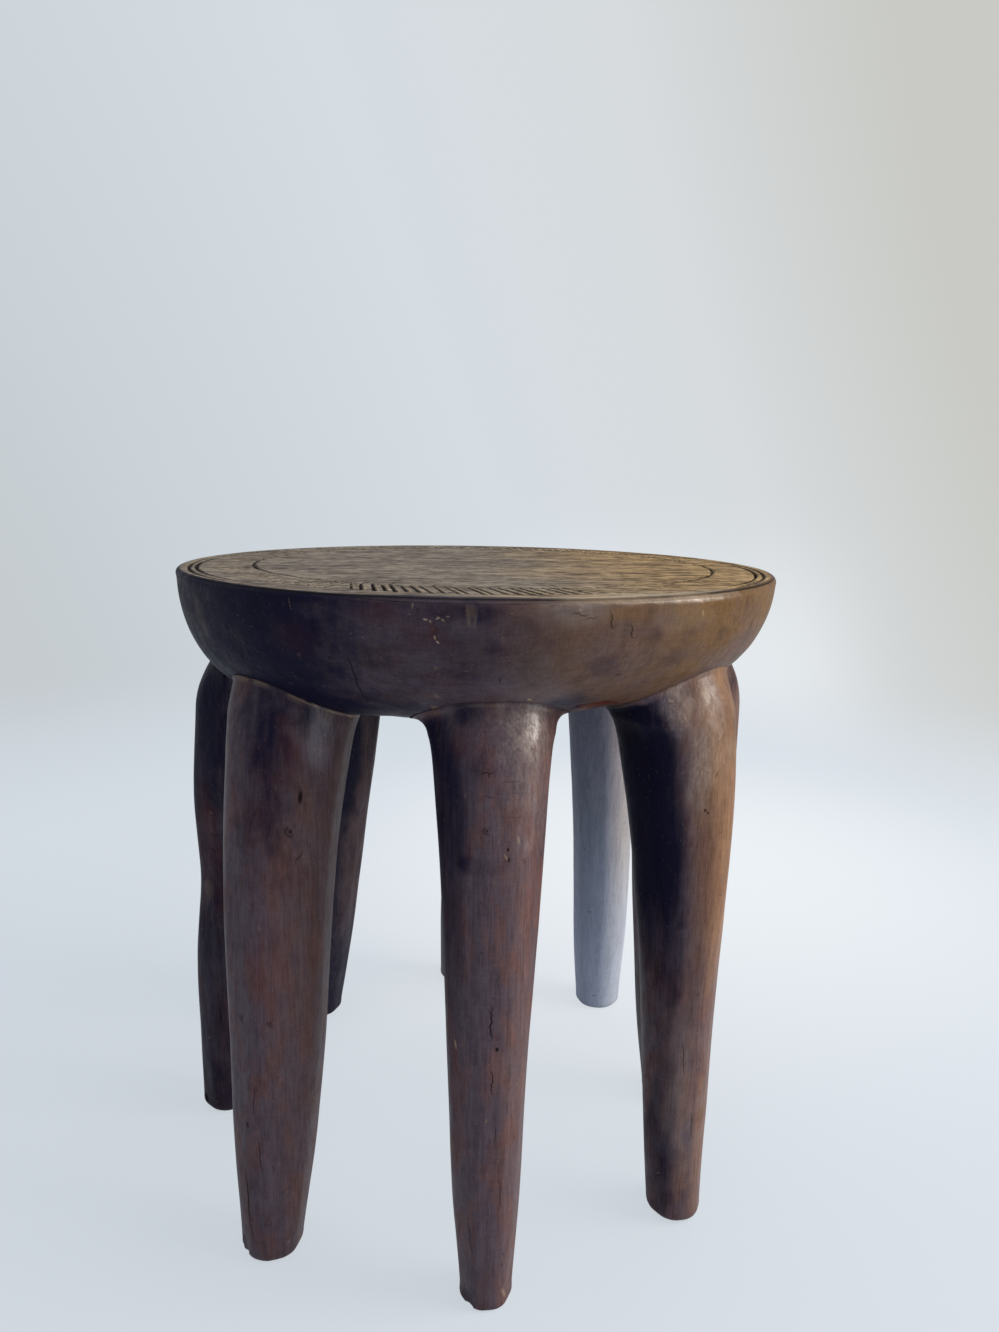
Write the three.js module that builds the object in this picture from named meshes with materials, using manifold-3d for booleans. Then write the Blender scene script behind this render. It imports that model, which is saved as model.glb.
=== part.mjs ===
// A carved wooden stool: a thick round seat with a flat, lightly carved top and
// a bowl-shaped belly, standing in a ring of eight tapering legs. Each leg is
// scribed to the belly and held by a round tenon in a blind socket.
// Millimetres, +Z up. The stool stands on Z = 0 and its front faces -Y.

import * as THREE from 'three';
import { mergeVertices } from 'three/addons/utils/BufferGeometryUtils.js';
import Module from 'manifold-3d';

const wasm = await Module();
wasm.setup();

// The whole stool
const stoolHeight = 515;
const seatDiameter = 500;
const seatThickness = 97;
const ringTurnDegrees = 4.3; // the front leg stands a little to the right of the middle

// The seat's outline
const rimRounding = 3.5;
const bellySideExponent = 7.3; // a high one keeps the side upright before it turns under
const bellyDepthExponent = 1.87;
const bellyLeanShare = 0.104; // the belly hangs deeper on the left than on the right

// The carved rings on the top, with the plain wood left beside them: a pair close
// to the rim, then a broad band, then one more that was drawn off the middle
const ringGrooveWidth = 4;
const ringGrooveDepth = 1.6;
const rimLandWidth = 4.5;
const pairLandWidth = 2;
const bandWidth = 33; // at the sides; it is broader in front and narrower behind
const innerRingShift = 11;

// A plain leg: its widths under the seat and at the floor, how far in from the rim
// it meets the seat, and how much further out its foot stands
const legTopWidth = 84;
const legFootWidth = 40;
const legInset = 50;
const legSplay = 28;
const footRounding = 6;
const shoulderSetback = 20;
const shoulderHeight = 54;
const webWidth = 8;
const webHeight = 9;

// The joint between a leg and the seat
const tenonDiameter = 40;
const tenonLength = 45;
const tenonRoot = 30;
const socketEndSpace = 2;
const jointClearance = 0.3;
const tenonChamfer = 2;

// How finely round forms are drawn
const seatFacets = 72;
const bellyRings = 12;
const rimSteps = 3;
const legFacets = 24;
const footSteps = 3;
const shaftRings = 8;
const headRings = 7;
const tenonFacets = 16;
const weldDistance = 0.0001;
const wedgeHeightShare = 2; // a wedge that cuts a groove stands out of it by its own depth

// Worked out from the sizes above
const seatRadius = seatDiameter / 2;
const legHeight = stoolHeight - seatThickness;
const bellyDepth = seatThickness - rimRounding;
const headRadius = seatRadius - legInset;
const footRadius = headRadius + legSplay;
const outerRingRadius = seatRadius - rimRounding - rimLandWidth - ringGrooveWidth / 2;
const middleRingRadius = outerRingRadius - ringGrooveWidth - pairLandWidth;
const innerRingRadius = middleRingRadius - ringGrooveWidth - bandWidth;

// A leg's blank runs on into the seat, by this much of the seat's thickness, before
// it is scribed away
const blankTopShare = 0.43;
const blankHeight = legHeight + seatThickness * blankTopShare;

// Each leg was cut by eye, so each has its own taper and stance. girthShares are
// widths from the floor up, as shares of the width that a plain leg would have
// there. reachShares and sideShares are set off from a plain leg's middle, from
// the floor up, outwards and to the side, as shares of the top width. The last three
// say how much of the plain shoulder, web and foot rounding the leg has.
const legs = [
  {
    name: 'leg_front',
    girthShares: [0.97, 1.04, 1, 0.99, 0.99, 1, 1.01],
    reachShares: [0.01, 0, 0, 0],
    sideShares: [-0.055, -0.06, -0.04, -0.05],
    shoulderShare: 1,
    webShare: 0.35,
    footShare: 0.7,
  },
  {
    name: 'leg_front_right',
    girthShares: [1.08, 1.05, 1.02, 1.02, 1.07, 1.11, 1.07],
    reachShares: [-0.065, -0.02, 0.025, -0.02],
    sideShares: [-0.01, 0.01, 0.035, 0],
    shoulderShare: 0.5,
    webShare: 1.2,
    footShare: 1.3,
  },
  {
    name: 'leg_right',
    girthShares: [1.12, 1.25, 1.28, 1.31, 1.3, 1.14, 1],
    reachShares: [-0.44, -0.33, -0.17, -0.03],
    sideShares: [-0.12, -0.06, 0, 0],
    shoulderShare: 0.9,
    webShare: 1,
    footShare: 1,
  },
  {
    name: 'leg_back_right',
    girthShares: [1.2, 1.22, 1.13, 1.02, 0.98, 0.99, 1],
    reachShares: [-0.08, -0.025, 0, 0],
    sideShares: [0.005, -0.025, -0.02, -0.01],
    shoulderShare: 0.8,
    webShare: 1,
    footShare: 1,
  },
  {
    name: 'leg_back',
    girthShares: [1.12, 1.06, 1, 1, 1, 1, 1],
    reachShares: [-0.07, -0.03, 0, 0],
    sideShares: [0.005, -0.06, -0.1, -0.13],
    shoulderShare: 1,
    webShare: 0.8,
    footShare: 1,
  },
  {
    name: 'leg_back_left',
    girthShares: [1.2, 1.3, 1.3, 1.28, 1.27, 1.22, 1.17],
    reachShares: [0, 0, 0, 0],
    sideShares: [0, -0.05, -0.115, -0.2],
    shoulderShare: 0.8,
    webShare: 0.6,
    footShare: 1,
  },
  {
    name: 'leg_left',
    girthShares: [1.19, 1.19, 1.16, 1, 1.14, 1.08, 1],
    reachShares: [0.045, 0.05, 0.02, -0.02],
    sideShares: [-0.07, -0.05, -0.02, 0],
    shoulderShare: 1,
    webShare: 0.6,
    footShare: 1.5,
  },
  {
    name: 'leg_front_left',
    girthShares: [1.15, 1.26, 1.25, 1.2, 1.15, 1.14, 1.17],
    reachShares: [0.13, 0.1, 0.09, -0.1],
    sideShares: [0.045, 0.005, -0.05, -0.14],
    shoulderShare: 0.5,
    webShare: 0.4,
    footShare: 1.3,
  },
];

// How far a leg's section bulges between its faintly flattened faces
const faceBulgeShare = 0.012;
const facesOfLeg = 3;

const seatWood = new THREE.MeshStandardMaterial({ color: '#3d2a22', roughness: 0.48, metalness: 0 });
const legWood = new THREE.MeshStandardMaterial({ color: '#38241d', roughness: 0.5, metalness: 0 });

// A closed geometry becomes a solid once its shared corners are one
function solidFrom(geometry) {
  const bare = geometry.clone();
  bare.deleteAttribute('normal');
  bare.deleteAttribute('uv');
  const welded = mergeVertices(bare, weldDistance);
  const corners = welded.index.array;
  const triangles = [];
  for (let i = 0; i < corners.length; i += 3) {
    const [a, b, c] = [corners[i], corners[i + 1], corners[i + 2]];
    if (a !== b && b !== c && c !== a) triangles.push(a, b, c);
  }
  return new wasm.Manifold(new wasm.Mesh({
    numProp: 3,
    vertProperties: new Float32Array(welded.attributes.position.array),
    triVerts: new Uint32Array(triangles),
  }));
}

function geometryFrom(solid) {
  const mesh = solid.getMesh();
  const geometry = new THREE.BufferGeometry();
  geometry.setAttribute('position', new THREE.BufferAttribute(mesh.vertProperties, 3));
  geometry.setIndex(new THREE.BufferAttribute(mesh.triVerts, 1));
  geometry.computeVertexNormals();
  return geometry;
}

// Rings of points, all with the same count, are skinned and closed at both ends
function skinRings(rings) {
  const count = rings[0].length;
  const positions = [];
  const triangles = [];
  for (const ring of rings) {
    for (const point of ring) positions.push(point.x, point.y, point.z);
  }
  for (let r = 0; r < rings.length - 1; r += 1) {
    for (let i = 0; i < count; i += 1) {
      const a = r * count + i;
      const b = r * count + (i + 1) % count;
      triangles.push(a, b, b + count, a, b + count, a + count);
    }
  }
  const lastRing = (rings.length - 1) * count;
  for (const start of [0, lastRing]) {
    const middle = new THREE.Vector3();
    for (let i = 0; i < count; i += 1) {
      middle.add(new THREE.Vector3().fromArray(positions, (start + i) * 3));
    }
    middle.divideScalar(count);
    const hub = positions.length / 3;
    positions.push(middle.x, middle.y, middle.z);
    for (let i = 0; i < count; i += 1) {
      const a = start + i;
      const b = start + (i + 1) % count;
      if (start === 0) triangles.push(hub, b, a);
      else triangles.push(hub, a, b);
    }
  }
  const geometry = new THREE.BufferGeometry();
  geometry.setAttribute('position', new THREE.Float32BufferAttribute(positions, 3));
  geometry.setIndex(triangles);
  return geometry;
}

// The belly's outline from the rim down to its lowest middle. Grown by a
// clearance, it is the shape that the leg tops are scribed to.
function bellyOutline(clearance) {
  const points = [];
  for (let i = 0; i <= bellyRings; i += 1) {
    const deep = Math.sin((i / bellyRings) * Math.PI / 2);
    const wide = (1 - deep ** bellyDepthExponent) ** (1 / bellySideExponent);
    const outwards = bellySideExponent / seatRadius * wide ** (bellySideExponent - 1);
    const downwards = bellyDepthExponent / bellyDepth * deep ** (bellyDepthExponent - 1);
    const steepness = Math.hypot(outwards, downwards);
    const radius = wide * seatRadius + clearance * outwards / steepness;
    const height = -rimRounding - deep * bellyDepth - clearance * downwards / steepness;
    points.push(new THREE.Vector2(i === bellyRings ? 0 : radius, height));
  }
  return points;
}

function ringGroove(radius) {
  return [
    new THREE.Vector2(radius - ringGrooveWidth / 2, 0),
    new THREE.Vector2(radius, -ringGrooveDepth),
    new THREE.Vector2(radius + ringGrooveWidth / 2, 0),
  ];
}

function roundedRim() {
  const points = [];
  for (let i = 0; i < rimSteps; i += 1) {
    const angle = (i / rimSteps) * Math.PI / 2;
    const radius = seatRadius - rimRounding * (1 - Math.sin(angle));
    points.push(new THREE.Vector2(radius, -rimRounding * (1 - Math.cos(angle))));
  }
  return points;
}

// An outline drawn from the top's middle outwards is turned about Z, set at the
// seat's height, and its belly is let down on the left and drawn up on the right
function turnedSeat(outline) {
  const geometry = new THREE.LatheGeometry([...outline].reverse(), seatFacets);
  geometry.rotateX(Math.PI / 2);
  const position = geometry.attributes.position;
  for (let i = 0; i < position.count; i += 1) {
    const below = Math.min(position.getZ(i) + rimRounding, 0);
    const lean = bellyLeanShare * position.getX(i) / seatRadius;
    position.setZ(i, position.getZ(i) - below * lean + stoolHeight);
  }
  return geometry;
}

// The wedge that cuts the inner ring, with its edge at the bottom of the groove
function innerRingWedge() {
  const [inner, bottom, outer] = ringGroove(innerRingRadius);
  const aboveInner = bottom.clone().lerp(inner, wedgeHeightShare);
  const aboveOuter = bottom.clone().lerp(outer, wedgeHeightShare);
  const wedge = turnedSeat([aboveInner, aboveOuter, bottom, aboveInner]);
  return solidFrom(wedge.translate(0, innerRingShift, 0));
}

// A plain round bar along Z with both ends chamfered
function roundBar(radius, bottom, top) {
  const outline = [
    new THREE.Vector2(0, bottom),
    new THREE.Vector2(radius - tenonChamfer, bottom),
    new THREE.Vector2(radius, bottom + tenonChamfer),
    new THREE.Vector2(radius, top - tenonChamfer),
    new THREE.Vector2(radius - tenonChamfer, top),
    new THREE.Vector2(0, top),
  ];
  return new THREE.LatheGeometry(outline, tenonFacets).rotateX(Math.PI / 2);
}

// The value at a height, on a smooth line through shares spaced evenly up the blank
function smoothShare(shares, height) {
  const points = shares.map((share, i) => new THREE.Vector2(i, share));
  return new THREE.SplineCurve(points).getPoint(height / blankHeight).y;
}

// Where the middle of a leg stands at a height, outwards and to its side
function legMiddle(leg, height) {
  const plain = THREE.MathUtils.lerp(footRadius, headRadius, height / legHeight);
  const intoShoulder = Math.max(height - legHeight + shoulderHeight / 2, 0) / shoulderHeight;
  const setback = shoulderSetback * leg.shoulderShare * intoShoulder ** 2;
  return new THREE.Vector2(
    plain + smoothShare(leg.reachShares, height) * legTopWidth - setback,
    smoothShare(leg.sideShares, height) * legTopWidth,
  );
}

// Half a leg's width at a height
function legHalfWidth(leg, height) {
  const plain = THREE.MathUtils.lerp(legFootWidth, legTopWidth, height / legHeight) / 2;
  return plain * smoothShare(leg.girthShares, height);
}

// Below the seat a leg spreads to both sides in a short web
function webSpread(leg, height) {
  return webWidth * leg.webShare * Math.exp(Math.min(height - legHeight, 0) / webHeight);
}

function legSection(leg, index, height, inset) {
  const middle = legMiddle(leg, height);
  const halfWidth = legHalfWidth(leg, height) - inset;
  const halfSpread = halfWidth + webSpread(leg, height);
  const points = [];
  for (let i = 0; i < legFacets; i += 1) {
    const angle = (i / legFacets) * Math.PI * 2;
    const face = 1 + faceBulgeShare * Math.cos(facesOfLeg * angle + index);
    points.push(new THREE.Vector3(
      middle.x + halfWidth * face * Math.cos(angle),
      middle.y + halfSpread * face * Math.sin(angle),
      height,
    ));
  }
  return points;
}

// The uncut leg, from its flat sole to where it runs into the seat, pinched at the
// very end so that it stays inside the belly
function legBlank(leg, index) {
  const rings = [];
  const rounding = footRounding * leg.footShare;
  for (let i = 0; i < footSteps; i += 1) {
    const angle = (i / footSteps) * Math.PI / 2;
    const height = rounding * (1 - Math.cos(angle));
    rings.push(legSection(leg, index, height, rounding * (1 - Math.sin(angle))));
  }
  const headStart = legHeight - shoulderHeight / 2;
  for (let i = 0; i < shaftRings; i += 1) {
    const height = THREE.MathUtils.lerp(rounding, headStart, i / shaftRings);
    rings.push(legSection(leg, index, height, 0));
  }
  for (let i = 0; i <= headRings; i += 1) {
    const height = THREE.MathUtils.lerp(headStart, blankHeight, i / headRings);
    const pinch = i === headRings ? (legTopWidth - tenonDiameter) / 2 : 0;
    rings.push(legSection(leg, index, height, pinch));
  }
  return skinRings(rings);
}

function legAngle(index) {
  return THREE.MathUtils.degToRad(ringTurnDegrees - 90) + (index / legs.length) * Math.PI * 2;
}

function makeLeg(leg, index) {
  const belly = turnedSeat([new THREE.Vector2(0, 0), ...bellyOutline(jointClearance)]);
  belly.rotateZ(-legAngle(index));
  const middle = legMiddle(leg, legHeight);
  const tenon = roundBar(tenonDiameter / 2, legHeight - tenonRoot, legHeight + tenonLength);
  tenon.translate(middle.x, middle.y, 0);
  const solid = solidFrom(legBlank(leg, index)).subtract(solidFrom(belly)).add(solidFrom(tenon));
  const mesh = new THREE.Mesh(geometryFrom(solid), legWood);
  mesh.name = leg.name;
  mesh.rotation.z = legAngle(index);
  return mesh;
}

// The socket's mouth is cut well below the belly, so it always breaks through
function socketCutter(leg, index) {
  const bottom = legHeight - seatThickness;
  const top = legHeight + tenonLength + socketEndSpace;
  const middle = legMiddle(leg, legHeight);
  const bar = roundBar(tenonDiameter / 2 + jointClearance, bottom, top);
  bar.translate(middle.x, middle.y, 0);
  bar.rotateZ(legAngle(index));
  return solidFrom(bar);
}

function makeSeat() {
  const outline = [
    new THREE.Vector2(0, 0),
    ...ringGroove(middleRingRadius),
    ...ringGroove(outerRingRadius),
    ...roundedRim(),
    ...bellyOutline(0),
  ];
  let solid = solidFrom(turnedSeat(outline)).subtract(innerRingWedge());
  legs.forEach((leg, index) => {
    solid = solid.subtract(socketCutter(leg, index));
  });
  const mesh = new THREE.Mesh(geometryFrom(solid), seatWood);
  mesh.name = 'seat';
  return mesh;
}

const stool = new THREE.Group();
stool.add(makeSeat());
legs.forEach((leg, index) => stool.add(makeLeg(leg, index)));

// The left foot reaches past the rim, so the whole stool is shifted until the
// middle of the floor that it covers is at the origin
const reach = new THREE.Box3().setFromObject(stool, true);
const centre = reach.getCenter(new THREE.Vector3());
stool.position.set(-centre.x, -centre.y, -reach.min.z);

export default stool;
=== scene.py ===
import math

import bmesh
import bpy
import numpy as np
from mathutils import Matrix, Vector


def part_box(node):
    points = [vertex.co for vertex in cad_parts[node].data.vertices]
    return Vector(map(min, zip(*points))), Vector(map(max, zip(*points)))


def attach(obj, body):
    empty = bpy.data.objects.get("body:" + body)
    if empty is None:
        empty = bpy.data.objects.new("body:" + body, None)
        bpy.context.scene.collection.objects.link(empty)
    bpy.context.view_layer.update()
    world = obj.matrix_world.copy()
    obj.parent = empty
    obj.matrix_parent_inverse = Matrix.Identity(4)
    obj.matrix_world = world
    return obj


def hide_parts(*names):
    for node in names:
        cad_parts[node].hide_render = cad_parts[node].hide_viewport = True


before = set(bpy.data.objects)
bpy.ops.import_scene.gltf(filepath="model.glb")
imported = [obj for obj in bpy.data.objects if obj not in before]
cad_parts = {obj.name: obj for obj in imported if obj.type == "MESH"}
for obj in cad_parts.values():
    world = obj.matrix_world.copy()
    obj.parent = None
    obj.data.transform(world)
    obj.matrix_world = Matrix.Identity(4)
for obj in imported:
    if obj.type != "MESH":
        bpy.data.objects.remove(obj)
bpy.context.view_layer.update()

# The seat
# A thick round plate of dark hardwood, flat on top with rings and hatching cut into it,
# and rounded underneath like a bowl. It was hewn, scraped smooth and waxed, and it lies on
# the scribed heads of the legs, whose tenons go up into blind sockets in its belly.
mm = 0.001
seat_low, seat_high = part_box("seat")
seat_radius = (seat_high.x - seat_low.x) / 2
seat_middle = np.array([(seat_low.x + seat_high.x) / 2, (seat_low.y + seat_high.y) / 2, 0])
seat_top = seat_high.z
seat_thickness = 97 * mm
rim_rounding = 3.5 * mm
belly_depth = seat_thickness - rim_rounding
belly_side_power = 7.3
belly_depth_power = 1.87
belly_lean = 0.104

# Three cut rings: a pair near the rim, and one further in that was drawn a little off
# the middle. The front edge is worn smooth, so all three are faint there.
pair_radii = (234 * mm, 240 * mm)
inner_ring_radius = 197 * mm
inner_ring_shift = (5 * mm, 11 * mm)
ring_half_width = 1.6 * mm
ring_depth = 1.5 * mm
ring_wear_side = -90
ring_wear_from, ring_wear_to = 42, 66

# Between them a band of short slanting strokes goes round in eight fans. On the right the
# strokes are faint or worn, and left of the middle of the front they are bold.
stroke_count = 168
fan_count = 8
fan_middle = -92
fan_slant = 18
fan_spread = 0.42
stroke_half_width = 1.35 * mm
stroke_depth = 1.8 * mm
stroke_outer = 223 * mm
faint_side, worn_side, bold_side = -11, -50, -78

# The plate's skin is made of rings of points, closest together where the top is carved
few_points, more_points, most_points = 360, 720, 1440
plain_radii = np.arange(9, 180, 17) * mm
hatched_radii = np.linspace(182 * mm, 226 * mm, 31)
paired_radii = np.linspace(229 * mm, 243 * mm, 21)
arris_radii = (244 * mm, 245 * mm, 245.8 * mm)
rim_turns = np.radians([0, 10, 20, 32, 45, 60, 75])
belly_rings, under_rings = 29, 12
under_hub = 10 * mm


def lumps(places, size, seed):
    """Smooth noise from -1 to 1, whose lumps are about that many millimetres each way."""
    cell = places / (np.asarray(size) * mm) + 31.7 * seed
    corner = np.floor(cell).astype(np.int64)
    part = cell - corner
    part = part * part * (3 - 2 * part)
    total = np.zeros(len(places))
    for step in np.ndindex(2, 2, 2):
        code = (corner + step) @ np.array([15731, 789221, 1376312589]) & 0x7FFFFFFF
        code = (code ^ (code >> 13)) * 60493 & 0x7FFFFFFF
        code = (code ^ (code >> 11)) * 19990303 & 0x7FFFFFFF
        total += np.prod(np.where(step, part, 1 - part), axis=1) * (code / 2**30 - 1)
    return total


def ease(value, start, end):
    """0 before start, 1 after end, and a smooth climb between them."""
    share = np.clip((value - start) / (end - start), 0, 1)
    return share * share * (3 - 2 * share)


def belly_share(radius):
    """What share of its depth the belly has at a radius."""
    return (1 - (radius / seat_radius) ** belly_side_power) ** (1 / belly_depth_power)


def belly_radius(share):
    """How far out the belly's skin is at a share of its depth."""
    return seat_radius * (1 - share**belly_depth_power) ** (1 / belly_side_power)


def belly_height(x, y):
    """How high the belly's skin is over a place measured from the seat's axis."""
    deep = belly_share(np.minimum(np.hypot(x, y), seat_radius))
    return seat_top - rim_rounding - deep * belly_depth * (1 - belly_lean * x / seat_radius)


def ring_faces(first, first_count, second, second_count):
    """Faces between two rings of points, where one may have two or four times the other's."""
    if first_count == second_count:
        at = np.arange(first_count)
        nxt = (at + 1) % first_count
        return np.stack([first + at, second + at, second + nxt, first + nxt], 1).tolist()
    coarse, fine = sorted([(first_count, first), (second_count, second)])
    ratio = fine[0] // coarse[0]
    half = (ratio + 1) // 2
    faces = []
    for i in range(coarse[0]):
        here, beyond = coarse[1] + i, coarse[1] + (i + 1) % coarse[0]
        for j in range(ratio):
            at, nxt = i * ratio + j, (i * ratio + j + 1) % fine[0]
            faces.append((here if j < half else beyond, fine[1] + at, fine[1] + nxt))
        faces.append((here, fine[1] + i * ratio + half, beyond))
    return faces


def skin(rings, first_hub, last_hub):
    """Points and faces of a closed skin over rings of points, with a hub at each end."""
    points = np.concatenate([[first_hub], *rings, [last_hub]])
    start = 1
    count = len(rings[0])
    faces = [(0, start + i, start + (i + 1) % count) for i in range(count)]
    for ring, after in zip(rings, rings[1:]):
        faces += ring_faces(start, len(ring), start + len(ring), len(after))
        start += len(ring)
    count = len(rings[-1])
    hub = start + count
    faces += [(start + i, hub, start + (i + 1) % count) for i in range(count)]
    return points, faces


def seat_rings():
    """The plate's rings, from the middle of the top over the rim to under the belly."""
    profile = [(radius, 0, 0, few_points) for radius in plain_radii]
    profile += [(radius, 0, 0, most_points) for radius in hatched_radii]
    profile += [(radius, 0, 0, more_points) for radius in (*paired_radii, *arris_radii)]
    for turn in rim_turns:
        radius = seat_radius - rim_rounding * (1 - math.sin(turn))
        profile.append((radius, rim_rounding * (1 - math.cos(turn)), 0, more_points))
    for deep in 0.95 * np.linspace(0, 1, belly_rings) ** 1.35:
        radius = belly_radius(deep)
        profile.append((radius, rim_rounding, deep, more_points if deep < 0.1 else few_points))
    for radius in np.linspace(radius, under_hub, under_rings)[1:]:
        profile.append((radius, rim_rounding, belly_share(radius), few_points))
    rings = []
    for radius, drop, deep, count in profile:
        turn = np.arange(count) / count * 2 * math.pi
        x, y = radius * np.cos(turn), radius * np.sin(turn)
        z = seat_top - drop - deep * belly_depth * (1 - belly_lean * x / seat_radius)
        rings.append(np.stack([x, y, z], 1))
    return rings


def turn_between(a, b):
    """How many degrees there are from one direction to another, up to 180."""
    return np.abs((a - b + 180) % 360 - 180)


def cut_ring(points, middle, radius, seed):
    """How deep one ring is cut at each point of the top."""
    from_middle = np.hypot(points[:, 0] - middle[0], points[:, 1] - middle[1])
    wander = lumps(points, 38, seed) * 0.5 * mm
    wide = ring_half_width * (1 + 0.25 * lumps(points, 60, seed + 1))
    across = np.abs(from_middle - radius - wander) / wide
    cut = ring_depth * (1 + 0.3 * lumps(points, 25, seed + 2))
    return cut * np.clip(1 - across**1.6, 0, 1)


def cut_strokes(points):
    """How deep the slanting strokes are cut at each point of the top, and their raised ridges."""
    x, y, _ = points.T
    radius, around = np.hypot(x, y), np.degrees(np.arctan2(y, x))
    step, fan_degrees = 360 / stroke_count, 360 / fan_count
    luck = np.random.default_rng(11).uniform(-1, 1, (stroke_count, 6))
    inside = (inner_ring_radius + stroke_outer) / 2
    band = (radius > 178 * mm) & (radius < 228 * mm)
    total, ridges = np.zeros(len(points)), np.zeros(len(points))
    nearest = np.round(around / step)
    for beside in range(-5, 6):
        number = (nearest + beside).astype(int) % stroke_count
        own = luck[number]
        middle = number * step + own[:, 0] * 0.22 * step
        fan_off = (middle - fan_middle + fan_degrees / 2) % fan_degrees - fan_degrees / 2
        turn = np.radians(middle - fan_off + fan_off * fan_spread + fan_slant + own[:, 1] * 2)
        place = np.radians(middle)
        from_x, from_y = x - inside * np.cos(place), y - inside * np.sin(place)
        along = from_x * np.cos(turn) + from_y * np.sin(turn)
        across = from_y * np.cos(turn) - from_x * np.sin(turn)
        length = (stroke_outer - inner_ring_radius) / 2 + own[:, 2] * 2.5 * mm
        start = -length - 1 * mm - 20 * mm * np.clip(-np.sin(place), 0, 1) + own[:, 3] * 3 * mm
        share = np.clip((along - start) / (length - start), 0, 1)
        bold = 1 + 0.3 * (1 - ease(turn_between(middle, bold_side), 8, 16))
        wide = stroke_half_width * bold * (0.85 + 0.25 * share) * (1 + 0.2 * own[:, 4])
        deep = stroke_depth * bold * (0.7 + 0.4 * share) * (1 + 0.3 * own[:, 5])
        ends = ease(along, start - 1 * mm, start + 3 * mm) * ease(-along, -length, -length + 2 * mm)
        total = np.maximum(total, deep * ends * np.clip(1 - np.abs(across) / wide, 0, 1))
        ridge = np.clip(1 - np.abs(across / wide - 1.7) / 0.9, 0, 1)
        ridges = np.maximum(ridges, ridge * ends * (0.4 + 0.6 * share))
    faint = 1 - 0.8 * (1 - ease(turn_between(around, faint_side), 18, 30))
    worn = 1 - 0.6 * (1 - ease(turn_between(around, worn_side), 14, 22))
    return total * band * faint * worn, ridges * band * faint * worn


def cut_top(points):
    """How deep the carving on the top goes at each point, the dirt in it, and its pale ridges."""
    around = np.degrees(np.arctan2(points[:, 1], points[:, 0]))
    worn = 1 - ease(turn_between(around, ring_wear_side), ring_wear_from, ring_wear_to)
    depth = np.zeros(len(points))
    for number, radius in enumerate(pair_radii):
        depth = np.maximum(depth, cut_ring(points, (0, 0), radius, 3 * number) * (1 - 0.93 * worn))
    inner = cut_ring(points, inner_ring_shift, inner_ring_radius, 9) * (1 - 0.7 * worn)
    strokes, ridges = cut_strokes(points)
    flat = points[:, 2] > seat_top - 0.01 * mm
    depth = np.maximum(np.maximum(depth, inner), strokes) * flat
    dirt = np.clip(depth / (0.6 * mm), 0, 1)
    return depth, dirt, 0.75 * ridges * flat * (1 - dirt)


class Mark:
    """A crack, knot, hole or chip: where it is, which way it runs, its size, and its stain."""

    def __init__(self, kind, place, along, normal, length, width, depth, dirt=1, pale=0, red=0):
        self.kind, self.place, self.along = kind, place, along
        self.across = np.cross(normal, along)
        self.length, self.width, self.depth = length * mm, width * mm, depth * mm
        self.stain = {"dirt": dirt, "pale": pale, "red": red}

    def close_to(self, points, margin):
        """Which points lie in the mark or within a margin round it."""
        away = points - self.place
        beside = np.abs(away @ self.across) < self.width * 0.6 + 0.5 * mm + margin
        reach = self.length / 2 + 1 * mm + margin
        return beside & (np.einsum("ij,ij->i", away, away) < reach**2)

    def shape(self, points):
        """How much of the mark's full depth each point has, from 0 to 1."""
        away = points - self.place
        near = np.einsum("ij,ij->i", away, away) < (self.length / 2 + 2 * mm) ** 2
        result = np.zeros(len(points))
        some = away[near]
        along = some @ self.along / (self.length / 2)
        across = some @ self.across / (self.width / 2)
        if self.kind == "crack":
            across = across + 0.55 * np.sin(along * 5) + 0.3 * np.sin(along * 13)
            cut = np.clip(1 - np.abs(across), 0, 1) * np.sqrt(np.clip(1 - along**2, 0, 1))
        elif self.kind == "knot":
            out = np.hypot(along, across) * (1 + 0.2 * np.sin(3 * along + 2 * across))
            rim = 0.35 + 0.4 * np.sin(2 * along - 3 * across)
            cut = np.exp(-(((out - 0.7) / 0.2) ** 2)) * rim + np.exp(-((out / 0.3) ** 2))
        else:
            out = np.hypot(along, across) * (1 + 0.15 * np.sin(6 * along + 4 * across))
            cut = np.clip(1 - out**2, 0, 1) ** 0.7
        result[near] = np.clip(cut, 0, 1)
        return result


def blot(places, spot, wide, tall, seed):
    """How much a soft ragged stain covers each point, from 0 to 1."""
    away = places - spot
    ragged = 1 + 0.45 * lumps(places, 15, seed) + 0.2 * lumps(places, 6, seed + 1)
    far = np.hypot(np.hypot(away[:, 0], away[:, 1]) / wide, away[:, 2] / tall) * ragged
    return 1 - ease(far, 0.35, 1.3)


def placed(name, data):
    thing = bpy.data.objects.new(name, data)
    bpy.context.scene.collection.objects.link(thing)
    return thing


# Round its marks a piece's edges are halved in three steps, down to about these lengths
fine_edges = (2.6 * mm, 1.3 * mm, 0.7 * mm)


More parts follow.
